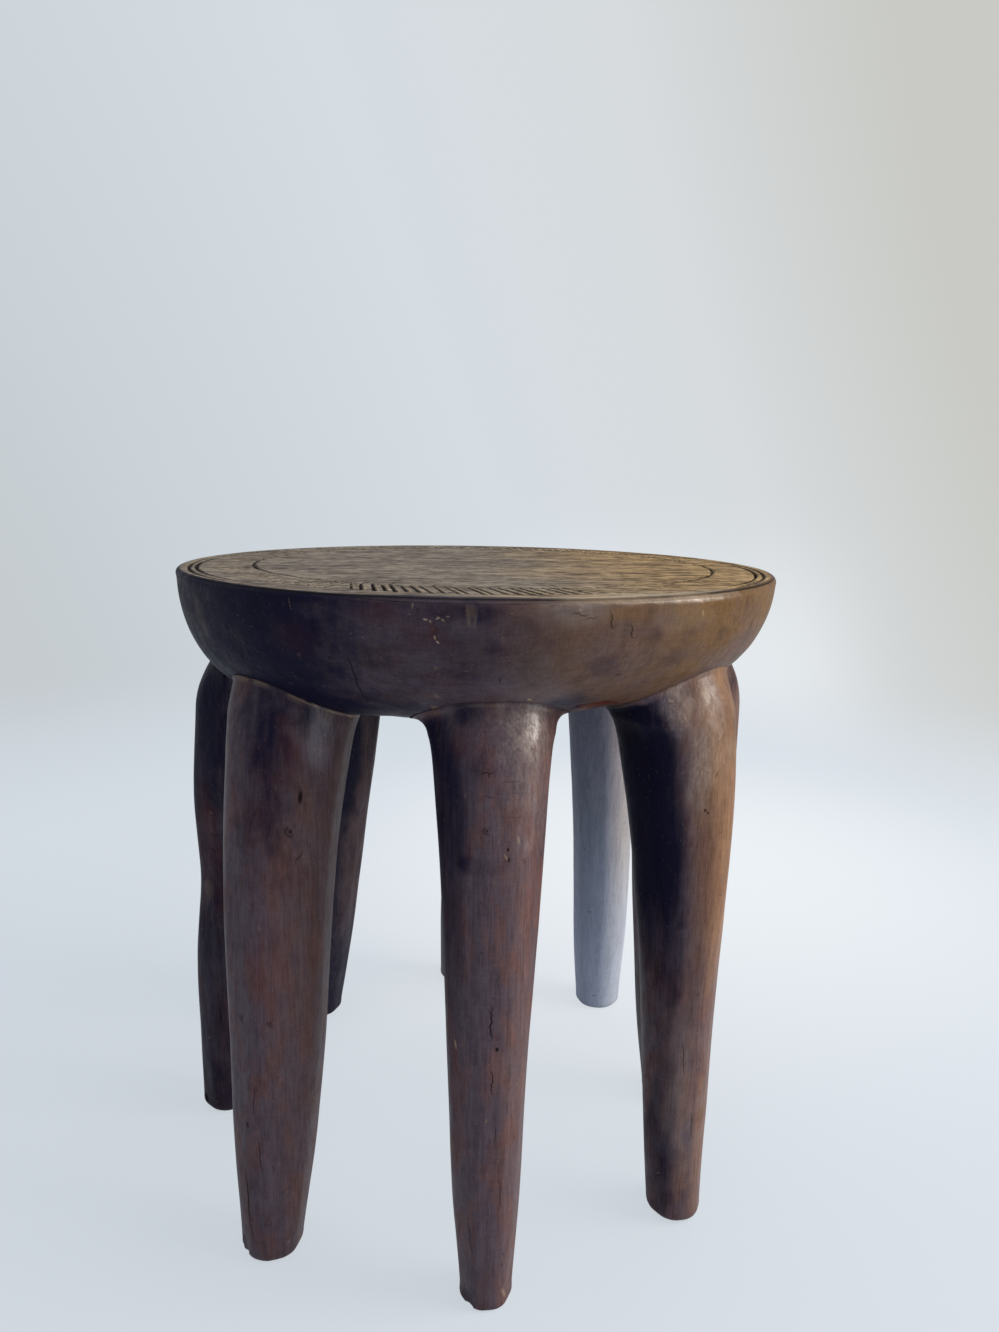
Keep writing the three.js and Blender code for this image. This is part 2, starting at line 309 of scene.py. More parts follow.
def make_piece(name, points, faces, find, marks, stains, hew, finish):
    """A piece of wood in its place, with finer faces round its marks and each mark cut in.

    A stain is what it changes, degrees round and mm along for find, how wide and tall it is,
    and by how much it changes that.
    """
    mesh = bpy.data.meshes.new(name)
    mesh.from_pydata(points.tolist(), [], faces)
    work = bmesh.new()
    work.from_mesh(mesh)
    for shortest in fine_edges:
        places = np.array([v.co for v in work.verts])
        near = np.any([mark.close_to(places, shortest) for mark in marks], axis=0)
        work.verts.index_update()
        edges = []
        for edge in work.edges:
            a, b = edge.verts
            if near[a.index] and near[b.index] and edge.calc_length() > shortest:
                edges.append(edge)
        bmesh.ops.subdivide_edges(work, edges=edges, cuts=1, use_grid_fill=True)
    bmesh.ops.triangulate(work, faces=[f for f in work.faces if len(f.verts) > 4])
    bmesh.ops.recalc_face_normals(work, faces=work.faces)
    work.to_mesh(mesh)
    work.free()
    count = len(mesh.vertices)
    places, normals = np.empty((2, count * 3))
    mesh.vertices.foreach_get("co", places)
    mesh.vertex_normals.foreach_get("vector", normals)
    places, normals = places.reshape(-1, 3), normals.reshape(-1, 3)
    depth, looks = hew(places, normals)
    for label in ("worn", "pale", "red", "gloss", "bloom"):
        looks.setdefault(label, np.zeros(count))
    for seed, (label, around, level, wide, tall, amount) in enumerate(stains):
        spot = find(around, level * mm)[0]
        share = blot(places, spot, wide * mm, tall * mm, seed + 40)
        looks[label] = np.clip(looks[label] + amount * share, 0, 1)
    for mark in marks:
        share = mark.shape(places)
        depth = np.maximum(depth, share * mark.depth)
        for label, amount in mark.stain.items():
            looks[label] = np.maximum(looks[label], share * amount)
    places = places - normals * depth[:, None] + seat_middle
    mesh.vertices.foreach_set("co", places.ravel())
    for label, values in looks.items():
        mesh.attributes.new(label, "FLOAT", "POINT").data.foreach_set("value", values)
    mesh.shade_smooth()
    mesh.materials.append(finish)
    return placed(name, mesh)


class Tone:
    """One socket of a finish. Sums on tones add Math nodes, and node() adds any other node."""

    def __init__(self, socket):
        self.socket = socket

    def node(self, kind, settings, inputs, output=0):
        made = self.socket.id_data.nodes.new(kind)
        for key, value in settings.items():
            if key == "stops":
                ramp = made.color_ramp.elements
                while len(ramp) < len(value):
                    ramp.new(1)
                for stop, (place, tint) in zip(ramp, value):
                    stop.position = place
                    stop.color = tint
            else:
                setattr(made, key, value)
        for key, value in inputs.items():
            if isinstance(value, Tone):
                value.feed(made, key)
            else:
                made.inputs[key].default_value = value
        return Tone(made.outputs[output])

    def feed(self, node, key):
        """Drives a socket of a node."""
        self.socket.id_data.links.new(self.socket, node.inputs[key])

    def math(self, operation, first, second):
        return self.node("ShaderNodeMath", {"operation": operation}, {0: first, 1: second})

    def __add__(self, other):
        return self.math("ADD", self, other)

    __radd__ = __add__

    def __mul__(self, other):
        return self.math("MULTIPLY", self, other)

    __rmul__ = __mul__

    def __sub__(self, other):
        return self.math("SUBTRACT", self, other)

    def __rsub__(self, other):
        return self.math("SUBTRACT", other, self)

    def between(self, start, end):
        """0 up to start and 1 from end on."""
        return self.node(
            "ShaderNodeMapRange",
            {"interpolation_type": "SMOOTHSTEP"},
            {"Value": self, "From Min": start, "From Max": end},
        )

    def vector_math(self, operation, x, y, z, output=0):
        other = {0: self, 1: (x, y, z)}
        return self.node("ShaderNodeVectorMath", {"operation": operation}, other, output)

    def stretched(self, x, y, z):
        return self.vector_math("MULTIPLY", x, y, z)

    def far_from(self, x, y, z):
        return self.vector_math("DISTANCE", x, y, z, "Value")

    def towards(self, x, y, z):
        """How far these coordinates reach in a direction."""
        return self.vector_math("DOT_PRODUCT", x, y, z, "Value")

    def noise(self, size, detail, rough):
        """Noise on these coordinates with lumps of that size in millimetres."""
        values = {"Vector": self, "Scale": 1 / (size * mm), "Detail": detail, "Roughness": rough}
        return self.node("ShaderNodeTexNoise", {}, values)

    def times(self, share):
        """This colour made lighter or darker by a share."""
        settings = {"data_type": "RGBA", "blend_type": "MULTIPLY"}
        return self.node("ShaderNodeMix", settings, {0: 1, 6: self, 7: share}, 2)

    def blend(self, first, second):
        """One colour where this share is 0, another where it is 1, and a mix between."""
        colours = {0: self, 6: first, 7: second}
        return self.node("ShaderNodeMix", {"data_type": "RGBA"}, colours, 2)


def colour(red, green, blue):
    """A colour given as it looks on screen, from 0 to 255, as the light values nodes use."""
    steps = [red / 255, green / 255, blue / 255]
    return (*[s / 12.92 if s <= 0.04045 else ((s + 0.055) / 1.055) ** 2.4 for s in steps], 1)


def new_finish(name):
    """A new material, its shader, and the coordinates of a place on what wears it."""
    material = bpy.data.materials.new(name)
    material.use_nodes = True
    nodes = material.node_tree.nodes
    place = Tone(nodes.new("ShaderNodeTexCoord").outputs["Object"])
    return material, nodes["Principled BSDF"], place


def waxed_wood(name, run, brown, red_brown, gold):
    """Dark waxed hardwood with its grain along run, an axis.

    The skin is brown with darker patches, and painted near black as shade where it is turned
    away from the light. Warm light is painted on the sides that face the window, pale painted
    highlights where it is glossy, and a pale grey veil of painted light over some of it. The
    top of the seat is worn to a dull olive brown, painted greyer on its shaded left and warmer
    on its lit right.
    """
    material, shader, place = new_finish(name)
    shares = ("worn", "dirt", "night", "gold", "bloom", "gloss", "red", "pale")
    worn, dirt, dark, warm_lit, hazy, glossy_and_highlit, red, pale = [
        place.node("ShaderNodeAttribute", {"attribute_name": share}, {}, 2) for share in shares
    ]
    figure, grain = [1, 1, 1], [1, 1, 1]
    figure["XYZ".index(run)] = 0.4
    grain["XYZ".index(run)] = 0.05
    figure_place, grain_place = place.stretched(*figure), place.stretched(*grain)
    cloud = figure_place.noise(60, 5, 0.62)
    patch = figure_place.noise(17, 5, 0.62)
    mottle = figure_place.noise(5, 5, 0.7)
    fibre = grain_place.noise(1.5, 3, 0.65)
    line = grain_place.noise(5, 4, 0.7)
    fleck = figure_place.noise(1.5, 2, 0.6)
    scratch = place.stretched(0.08, 0.08, 1).noise(0.9, 2, 0.6)
    if run == "X":
        upright = place.stretched(1, 1, 0.2)
        fibre = (0.25 + 0.5 * upright.noise(1.6, 2, 0.6)) * (1 - worn) + fibre * worn
        line = upright.noise(9, 3, 0.6) * (1 - worn) + line * worn

    # Painted light: where this share is high the wood takes the warm colour of window light.
    warm_light_share = warm_lit * (0.35 + 0.75 * cloud.between(0.3, 0.62))
    base = warm_light_share.blend(patch.between(0.45, 0.62).blend(brown, red_brown), gold)
    # Painted shade: where this share is high the wood is painted navy black, as on the sides turned
    # from the window and under the seat, besides its own darker patches.
    night = dark + 0.9 * (patch - 0.5) + 0.9 * (cloud - 0.5) + 0.7 * (line - 0.5)
    night = night.between(0, 1)
    base = night.blend(base, colour(20, 18, 39))
    scuff = (0.6 * mottle + 0.5 * patch + 0.3 * line).between(0.58, 0.82)
    # The worn top as painted in shade on its left and in warm light on its right.
    shaded_top = scuff.blend(colour(74, 65, 58), colour(140, 128, 112))
    lit_top = scuff.blend(colour(87, 67, 45), colour(171, 142, 100))
    base = worn.blend(base, warm_lit.blend(shaded_top, lit_top))
    # A pale grey veil of painted light, cooler in shade and warmer where the window light falls; it
    # flattens the grain beneath it.
    bloom = hazy * (0.75 + 0.5 * patch)
    base = bloom.blend(base, warm_lit.blend(colour(160, 170, 190), colour(166, 160, 150)))
    shade = (0.85 - 0.45 * worn) * line + (0.4 + 0.45 * worn) * mottle
    shade = shade + 1.1 * fibre + 0.4 * scratch - 0.38
    base = base.times(bloom * 0.6 * (1 - shade) + shade)
    rub = 0.35 + 0.45 * mottle.between(0.42, 0.6) + 0.4 * fleck.between(0.5, 0.62)
    sheen = glossy_and_highlit * (1 - 0.6 * worn) * rub
    # Painted highlight: the glossy patches are painted pale as well as given more coat.
    base = (sheen * 0.26).blend(base, colour(162, 148, 132))
    base = (fleck.between(0.68, 0.75) * 0.3).blend(base, colour(150, 128, 98))
    specks = (1 - fleck).between(0.66, 0.74) * (0.55 + 0.3 * worn)
    dark_dirt = dirt.math("MAXIMUM", dirt, specks) * 0.92
    base = dark_dirt.blend(base, colour(12, 8, 9))
    base = red.blend(base, colour(84, 32, 22))
    base = pale.blend(base, colour(170, 148, 116))
    base.feed(shader, "Base Color")

    polish = 0.52 + 0.5 * (mottle - 0.5) + 0.2 * dirt + 0.3 * worn + 0.3 * (patch - 0.5)
    polish.feed(shader, "Roughness")
    wax = (0.3 - 0.3 * night) * mottle.between(0.3, 0.62)
    wax = wax * (1 - 0.85 * worn) * (1 - 0.35 * warm_lit)
    wax = (wax + 0.9 * sheen) * (1 - dirt)
    wax.feed(shader, "Coat Weight")
    height = 0.5 * fibre + mottle + 0.6 * line + 0.3 * scratch
    relief = {"Height": height, "Strength": 0.5, "Distance": 0.5 * mm}
    height.node("ShaderNodeBump", {}, relief).feed(shader, "Normal")
    shader.inputs["Specular IOR Level"].default_value = 0.05
    shader.inputs["Coat Roughness"].default_value = 0.3
    return material


def on_seat(around, below):
    """A place on the plate's side or belly, with the ways down and outwards there."""
    turn = math.radians(around)
    outwards = np.array([math.cos(turn), math.sin(turn)])
    lean = 1 - belly_lean * outwards[0]
    radius = belly_radius(min(max(below - rim_rounding, 0) / belly_depth / lean, 1))
    step = 2 * mm
    here = np.array([*(outwards * radius), seat_top - below])
    if radius > seat_radius - step:
        normal = np.array([*outwards, 0])
    else:
        low = belly_height(*(outwards * (radius - step)))
        high = belly_height(*(outwards * (radius + step)))
        rise = (high - low) / (2 * step)
        normal = np.array([*(outwards * rise), -1]) / math.hypot(rise, 1)
        here[2] = belly_height(*(outwards * radius))
    down = np.cross(normal, np.array([-outwards[1], outwards[0], 0]))
    return here, down, normal


def on_top(around, out):
    """A place on the flat top, with the ways to the right and upwards."""
    turn = math.radians(around)
    place = (out * math.cos(turn), out * math.sin(turn), seat_top)
    return place, np.array([1, 0, 0]), np.array([0, 0, 1])


def turned(along, normal, degrees):
    """A way along the surface, turned about its normal."""
    turn = math.radians(degrees)
    return along * math.cos(turn) + np.cross(normal, along) * math.sin(turn)


def mark_on(find, kind, around, level, turn, *size_and_stain):
    """A mark on the skin where find puts these degrees round and mm along."""
    place, down, normal = find(around, level * mm)
    return Mark(kind, place, turned(down, normal, turn), normal, *size_and_stain)


def with_kind(marks):
    """The rows of a table of marks, each with its kind in front."""
    return [(kind, *row) for kind, rows in marks.items() for row in rows]


# Pits in the top: degrees round and mm out, turn, length, width, and how dirty and pale
pit_depth = 0.6
top_pits = [
    (-56.4, 231, 10, 9, 5, 0.8), (-50.5, 231, 30, 10, 4, 0.8), (-48.3, 230, 35, 9, 3, 0.7),
    (-65.2, 222, -20, 7, 4, 0.7), (-54.3, 202, 0, 8, 7, 0, 0.6), (-55.3, 181, 60, 6, 3, 0.6),
    (-44, 214, 10, 8, 4, 0.5), (-61, 208, -10, 7, 3, 0.5), (-35, 226, 50, 9, 3, 0.5),
    (-70, 229, 0, 6, 3, 0, 0.4), (14, 168, 5, 10, 3, 0.4),
]

# Marks in the side: degrees round and mm below the top, turn, length, width, depth, and then
# how dirty, pale and red, where one isn't simply dirty
side_marks = {
    "crack": [
        (-109.3, 58, 4, 44, 1.7, 1.4), (-75.3, 9.5, 80, 13, 1.6, 0.7),
        (-73.5, 12, 95, 9, 1.4, 0.6), (-70.2, 14, 8, 13, 1.8, 0.6), (-66.5, 22, 12, 11, 2, 0.6),
        (-98.5, 8, 30, 6, 1.6, 0.4, 0.7), (-66, 75.5, 88, 44, 2.2, 1.6),
    ],
    "hole": [(-66, 78, 86, 42, 11, 2.5, 0.35, 0, 0.9)],
    "chip": [
        (-96.3, 20, 0, 11, 8, 0.9, 0.2, 0, 0.35), (-97.4, 13.2, 80, 3.4, 1.3, 0.4, 0, 0.9),
        (-96.7, 14.4, 30, 2.4, 1.2, 0.4, 0, 0.7), (-95.6, 12.2, 115, 3.4, 1.2, 0.4, 0, 0.8),
        (-94.9, 13.4, 55, 2.6, 1.2, 0.4, 0, 0.6), (-94.2, 11, 95, 2.4, 1, 0.4, 0, 0.5),
        (-96.1, 24.5, 10, 3, 1.4, 0.4, 0, 0.7), (-95.7, 27.5, 40, 2.6, 1.4, 0.4, 0, 0.8),
        (-81.2, 68, 70, 4, 2.4, 0.5, 0, 0.7), (-96.2, 45, 10, 4, 2.4, 0.4, 0, 0.14),
        (-96.4, 66, 40, 6, 3, 0.4, 0, 0.14), (-75.2, 6.5, 60, 2.2, 1.6, 0.4, 0, 0.6),
        (-52.8, 13, 10, 5, 1.6, 0.5, 0, 0.6), (-91.3, 10, 5, 18, 3.4, 0.3, 0, 0.15),
        (-90.3, 12, -9, 15, 2.4, 0.3, 0, 0.1), (-90.8, 8, 0, 12, 7, 0.2, 0, 0.1),
        (-99.3, 4.5, 0, 5, 1.4, 0.3, 0, 0.3), (-118.9, 8, 5, 9, 1.2, 0.3, 0, 0.12),
        (-96.6, 77, 80, 8, 2, 0.4, 0, 0.5), (-94.2, 76.5, 100, 6, 2, 0.4, 0, 0.6),
        (-91.8, 78, 75, 5, 1.6, 0.4, 0, 0.4),
    ],
}
seat_marks = [mark_on(on_top, "chip", *row[:5], pit_depth, *row[5:]) for row in top_pits]
seat_marks += [mark_on(on_seat, *row) for row in with_kind(side_marks)]

# Small chips from use, all over the side
small_chip_count = 34
for number in range(small_chip_count):
    around, below, turn, length, choice = np.random.default_rng(300 + number).uniform(0, 1, 5)
    stain = (0, 0.16 * choice) if choice > 0.45 else (0.6, 0)
    place = ("chip", 360 * around, 6 + 66 * below, 180 * turn)
    seat_marks.append(mark_on(on_seat, *place, 2 + 4 * length, 1.3, 0.3, *stain))

# Stains in the side: what each changes, degrees round and mm below the top, width, tallness,
# and how much. The glossy, pale, warm and grey patches just under the rim on the right of the
# front are painted highlights and painted light, and the dark patch just under the rim at the
# middle of the front is a painted shadow.
seat_stains = [
    ("night", -126, 34, 34, 22, 0.4), ("night", -116, 12, 16, 8, -0.35),
    ("red", -119, 30, 22, 14, 0.1), ("red", -104, 12, 22, 8, 0.16), ("red", -97, 24, 16, 12, 0.12),
    ("night", -90, 7, 20, 12, 0.24), ("gloss", -76, 2, 22, 4, 0.6),
    ("gloss", -68, 1.2, 26, 3.4, 0.9), ("gloss", -60, 1.2, 30, 3.4, 1),
    ("gloss", -50, 1.8, 26, 4, 0.9), ("pale", -69, 1.2, 34, 3, 0.3),
    ("pale", -58, 1.2, 26, 2.6, 0.3), ("gold", -50, 9, 30, 9, 0.7), ("gold", -66, 9, 30, 8, 0.4),
    ("pale", -75, 8, 30, 9, 0.08), ("bloom", -75, 9, 30, 10, 0.07),
    ("bloom", -82, 58, 30, 16, 0.05), ("pale", -144, 30, 12, 26, 0.05),
    ("night", -70, 46, 16, 10, 0.35), ("night", -62, 26, 9, 8, 0.3),
    ("night", -56, 44, 15, 8, 0.35), ("night", -46, 30, 9, 10, 0.4),
    ("night", -40, 16, 4, 16, 0.3), ("night", -36, 22, 3, 18, 0.25), ("pale", -57, 14, 24, 9, 0.1),
    ("night", -62, 84, 34, 12, 0.4), ("night", -85, 72, 34, 14, -0.4),
    ("night", -73, 74, 26, 12, 0.55), ("bloom", -76, 72, 30, 12, 0.05),
]

# Round each leg's head the belly keeps its plain curve, so that the scribed joint is tight
ring_turn = 4.3
head_circle, head_level = 196 * mm, 428 * mm
head_angles = np.radians(ring_turn - 90 + np.arange(8) * 45)
plain_belly_from, plain_belly_to = 58 * mm, 76 * mm

# The side was hewn with an adze, and its front edge is worn round by hands and knees, most of
# all in a dip left of its middle
adze_depth = 0.9
worn_front_middle, dip_middle, rubbed_middle = -85, -93, -57


def hew_seat(places, normals):
    """How deep the seat is hewn, worn and cut at each point, and the looks of the wood there."""
    depth, dirt, ridges = cut_top(places)
    below = seat_top - places[:, 2]
    side = ease(below, 2 * mm, 8 * mm)
    for angle in head_angles:
        head = (head_circle * math.cos(angle), head_circle * math.sin(angle), head_level)
        far = np.linalg.norm(places - head, axis=1)
        side = side * ease(far, plain_belly_from, plain_belly_to)
    hewn = 0.5 + 0.5 * lumps(places, (26, 26, 18), 1)
    ripple = 0.5 + 0.5 * lumps(places, (9, 9, 30), 2)
    depth = depth + side * (adze_depth * hewn + 0.25 * ripple) * mm
    x, out = places[:, 0], np.hypot(places[:, 0], places[:, 1])
    around = np.degrees(np.arctan2(places[:, 1], x))
    from_front = turn_between(around, worn_front_middle)
    worn_front = 1 - ease(from_front, 50, 85)
    rubbed = 1 - ease(turn_between(around, rubbed_middle), 8, 30)
    dip = 1 - ease(turn_between(around, dip_middle), 6, 20)
    rounding = rim_rounding + (3 * worn_front + 1.5 * rubbed + 6 * dip) * mm
    arris = seat_radius - rounding
    corner = np.hypot(np.maximum(out - arris, 0), np.maximum(rounding - below, 0)) - rounding
    edge = (out > arris) & (below < rounding)
    rounded_off = np.where(edge, np.maximum(corner, 0), 0)
    depth = depth + rounded_off
    start = arris - (0.5 + 4 * dip) * mm
    top = (1 - ease(below, 0, 0.12 * mm)) * (1 - ease(out, start, start + 2 * mm))
    depth = depth + top * (0.5 + 0.5 * lumps(places, 45, 5)) * 0.25 * mm
    # Painted shade: the side is darker towards its left, away from the window, and low on the belly
    # under the seat. It is a little lighter just under the front rim right of the middle, and round
    # the back it has an even middle darkness instead.
    cloud = lumps(places, 90, 11)
    night = 0.29 - x / (170 * mm) + 0.3 * cloud + 0.1 * ease(below, 55 * mm, 95 * mm)
    night = night - 0.25 * worn_front * (1 - ease(below, 2 * mm, 16 * mm)) * ease(x, -0.03, 0.09)
    back = ease(from_front, 54, 100)
    night = np.clip(night, 0, 1) * (1 - back) + (0.45 + 0.3 * cloud) * back
    # A dark line is painted just under the rim's edge, darkest along the worn front.
    crease = np.exp(-(((below + rounded_off - 0.85 * mm) / (0.65 * mm)) ** 2)) * edge
    # Painted highlight: a pale line along the top just inside its edge, strongest a little right of
    # the front's middle.
    bright = np.exp(-(((out - start + 3 * mm) / (2.4 * mm)) ** 2)) * top
    bright = bright * (0.15 + 0.65 * (1 - ease(turn_between(around, -75), 8, 26)))
    looks = {
        "dirt": np.maximum(dirt, crease * (0.3 + 0.7 * worn_front)),
        "worn": top,
        "night": np.clip(night, 0, 1) * (1 - top),
        # Painted warm light on the right of the seat, towards the window.
        "gold": ease(x + 40 * mm * cloud, -20 * mm, 180 * mm) * (1 - 0.75 * back * (1 - top)),
        "pale": np.maximum(ridges, bright),
    }
    return depth, looks


seat_skin = skin(seat_rings(), (0, 0, seat_top), (0, 0, seat_top - seat_thickness))
# Brown, red brown, and the warm colour painted where the window light falls.
seat_colours = (colour(76, 63, 70), colour(87, 68, 67), colour(102, 74, 42))
seat_wood = waxed_wood("seat_wood", "X", *seat_colours)
seat = make_piece("stool_seat", *seat_skin, on_seat, seat_marks, seat_stains, hew_seat, seat_wood)
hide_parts("seat")
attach(seat, "root")

# The legs
# Eight thick legs, each hewn by eye from its own piece of the same hardwood with the grain
# upright, tapering to a rounded foot. Each head is scribed to the belly of the seat and has
# a round tenon that is glued into a blind socket.
leg_height = seat_top - seat_thickness
leg_top_width = 84 * mm
leg_foot_width = 40 * mm
head_radius = seat_radius - 50 * mm
foot_radius = head_radius + 28 * mm
foot_rounding = 6 * mm
shoulder_setback = 20 * mm
shoulder_height = 54 * mm
web_width = 8 * mm
web_height = 9 * mm
blank_height = leg_height + seat_thickness * 0.43
joint_gap = 0.12 * mm
tenon_radius = 20 * mm
tenon_top = leg_height + 45 * mm
tenon_chamfer = 2 * mm
leg_columns = 120
leg_rings = 132
fillet_rings = 12

# An adze leaves long flats up a leg, with soft corners between them
flat_count = 6
flat_depth_share = 0.982
flat_sharpness = 60


def smooth_share(shares, height):
    """The value at a height, on a smooth line through shares spaced evenly up the blank."""
    shares = np.array(shares)
    last = len(shares) - 1
    along = np.clip(height / blank_height, 0, 1) * last
    at = np.minimum(np.floor(along).astype(int), last)
    part = along - at
    before, here = shares[np.maximum(at - 1, 0)], shares[at]
    after, beyond = shares[np.minimum(at + 1, last)], shares[np.minimum(at + 2, last)]
    start, end = (after - before) / 2, (beyond - here) / 2
    cubic = 2 * here - 2 * after + start + end
    square = 3 * after - 3 * here - 2 * start - end
    return ((cubic * part + square) * part + start) * part + here


class Leg:
    """One leg's own form and looks, measured from the seat's axis.

    girth, reach and side are shares from the floor up: its widths, and how far its middle
    stands off a plain leg's, outwards and to its side. shoulder, web and foot say how much
    of the plain shoulder, web and foot rounding it has. fillet is how softly it runs into
    the belly, lip how far its scribed edge stands proud, and facing where its flats start.
    night is how dark it is all over, from its own darker tone and from painted shade, dark_side
    how much painted shade darkens its left, away from the window, starting dark_from left of
    its middle, gold how much warm light is painted on its right, bloom how much of a pale grey
    veil of painted light lies over it, and dust how pale the line is where it meets the belly.
    """

    shoulder = web = foot = 1
    lip = night = bloom = 0
    dark_side, dark_from, gold, dust = 0.3, 0.2, 0.2, 0.12

    def __init__(self, index, own):
        """A leg with values of its own in place of the plain ones."""
        vars(self).update(own)
        self.index = index
        self.turn = math.radians(ring_turn - 90 + index * 45)
        self.luck = np.random.default_rng(20 + index).uniform(-1, 1, (flat_count, 4))

    def middle(self, height):
        plain = foot_radius + (head_radius - foot_radius) * height / leg_height
        rise = np.maximum(height - leg_height + shoulder_height / 2, 0) / shoulder_height
        setback = shoulder_setback * self.shoulder * rise**2
        out = plain + smooth_share(self.reach, height) * leg_top_width - setback
        return out, smooth_share(self.side, height) * leg_top_width

    def turned_out(self, out, side):
        """A place given outwards and to the leg's side, in the seat's own directions."""
        c, s = math.cos(self.turn), math.sin(self.turn)
        return np.stack([out * c - side * s, out * s + side * c], -1)

    def flats(self, angle, height):
        """How far out the hewn skin is at an angle, as a share of the round leg."""
        total = np.exp(-flat_sharpness)
        for number, (shift, drift, deep, late) in enumerate(self.luck):
            middle = math.radians(self.facing + (number + 0.13 * shift) * 360 / flat_count)
            wander = 0.1 * drift * np.sin(height / (105 * mm) + 3 * late)
            level = flat_depth_share + 0.016 * deep + 0.012 * np.sin(height / (64 * mm) + 6 * shift)
            plane = level / np.maximum(np.cos(angle - middle - wander), 0.3)
            total = total + np.exp(-flat_sharpness * plane)
        return -np.log(total) / flat_sharpness

    def outline(self, angle, height, inset=0):
        """Points on the leg's skin at these angles round its middle and these heights."""
        out, side = self.middle(height)
        plain = (leg_foot_width + (leg_top_width - leg_foot_width) * height / leg_height) / 2
        half = plain * smooth_share(self.girth, height) - inset
        spread = web_width * self.web * np.exp(np.minimum(height - leg_height, 0) / web_height)
        face = (1 + 0.012 * np.cos(3 * angle + self.index)) * self.flats(angle, height)
        out = out + half * face * np.cos(angle)
        side = side + (half + spread) * face * np.sin(angle)
        flat = self.turned_out(out, side)
        return np.column_stack([flat, height + 0 * angle])

    def seam(self, angle):
        """The height at which each line up the leg meets the belly."""
        low = np.full(len(angle), leg_height - 60 * mm)
        high = np.full(len(angle), seat_top)
        for _ in range(40):
            height = (low + high) / 2
            points = self.outline(angle, height)
            inside = height > belly_height(points[:, 0], points[:, 1]) - joint_gap
            high = np.where(inside, height, high)
            low = np.where(inside, low, height)
        return low

    def under_belly(self, flat):
        return np.column_stack([flat, belly_height(flat[:, 0], flat[:, 1]) - joint_gap])

    def rings(self):
        """The leg's rings of points from its sole up to the end of its tenon."""
        angle = np.arange(leg_columns) / leg_columns * 2 * math.pi
        level = np.zeros(leg_columns)
        rounding = foot_rounding * self.foot
        sole = self.outline(angle, level, rounding)
        rings = [sole.mean(0) + (sole - sole.mean(0)) * share for share in (0.35, 0.7)]
        for turn in np.radians([0, 18, 36, 54, 72]):
            drop, inset = rounding * (1 - math.cos(turn)), rounding * (1 - math.sin(turn))
            rings.append(self.outline(angle, level + drop, inset))
        seam = self.seam(angle)
        corner = self.outline(angle, seam)
        away = self.turned_out(np.cos(angle), np.sin(angle))
        step = 4 * mm
        beyond = self.under_belly(corner[:, :2] + away * step)
        slope = np.arctan2(beyond[:, 2] - corner[:, 2], step)
        tangent = self.fillet * mm / np.tan((math.pi / 2 + slope) / 2)
        for share in np.linspace(0, 1, leg_rings):
            rings.append(self.outline(angle, rounding + (seam - tangent - rounding) * share))
        below = rings[-1]
        edge = self.under_belly(corner[:, :2] + away * (tangent * np.cos(slope))[:, None])
        for share in np.linspace(0, 1, fillet_rings + 1)[1:]:
            bend = below * (1 - share) ** 2 + corner * 2 * share * (1 - share) + edge * share**2
            proud = self.lip * mm * math.sin(math.pi * share) ** 2
            bend[:, :2] += away * proud
            rings.append(bend)
        rings[-1] = edge
        out, side = self.middle(leg_height)
        middle = self.turned_out(out, side)
        root = middle + away * tenon_radius
        for share in (0.25, 0.6, 1):
            rings.append(self.under_belly(edge[:, :2] + (root - edge[:, :2]) * share))
        for radius, height in (
            (tenon_radius, tenon_top - tenon_chamfer),
            (tenon_radius - tenon_chamfer, tenon_top),
        ):
            rings.append(np.column_stack([middle + away * radius, level + height]))
        return rings, np.array([*middle, tenon_top])

    def place(self, around, height):
        """A place on the leg's skin, with the ways down and outwards there."""
        angles = math.radians(around) + np.array([0, 0, 0.05])
        spots = self.outline(angles, height - np.array([0, 2 * mm, 0]))
        down = spots[1] - spots[0]
        normal = np.cross(down, spots[2] - spots[0])
        return spots[0], down / np.linalg.norm(down), normal / np.linalg.norm(normal)

    def hew(self, places, normals):
        """How deep the leg is hewn at each point, and the looks of the wood there."""
        seed = self.index * 5
        up = places[:, 2]
        seam = np.abs(belly_height(places[:, 0], places[:, 1]) - up)
        shaft = ease(seam, 2 * mm, 16 * mm) * ease(up, 0, 12 * mm)
        hewn = 0.5 + 0.5 * lumps(places, (26, 26, 60), seed + 1)
        ripple = 0.5 + 0.5 * lumps(places, (7, 7, 30), seed + 2)
        depth = shaft * (adze_depth * hewn + 0.3 * ripple) * mm
        dirt = 0.5 * np.exp(-seam / (0.5 * mm)) + 0.4 * np.exp(-up / (3 * mm))
        dust = np.exp(-(((seam - 1.6 * mm) / (0.7 * mm)) ** 2))
        dust = dust * ease(lumps(places, 8, seed + 6), -0.35, 0.35)
        cloud = lumps(places, (50, 50, 120), seed + 3)
        # Painted shade: the side turned from the window is darker, most of all high up under the
        # seat, and the top of the leg is darker just under the belly. Faces turned to the back keep
        # an even middle darkness instead.
        left = -normals[:, 0] + 0.15 * lumps(places, (20, 20, 60), seed + 4)
        high = 0.15 + 0.85 * ease(up, 110 * mm, 350 * mm)
        left_shade_share = high * ease(left, self.dark_from, self.dark_from + 0.55)
        night = self.night + self.dark_side * left_shade_share
        night = night + 0.3 * cloud + 0.15 * ease(up, leg_height - 60 * mm, leg_height)
        back = ease(normals[:, 1], -0.25, 0.2)
        night = np.clip(night, 0, 1) * (1 - back) + (0.4 + 0.3 * cloud) * back
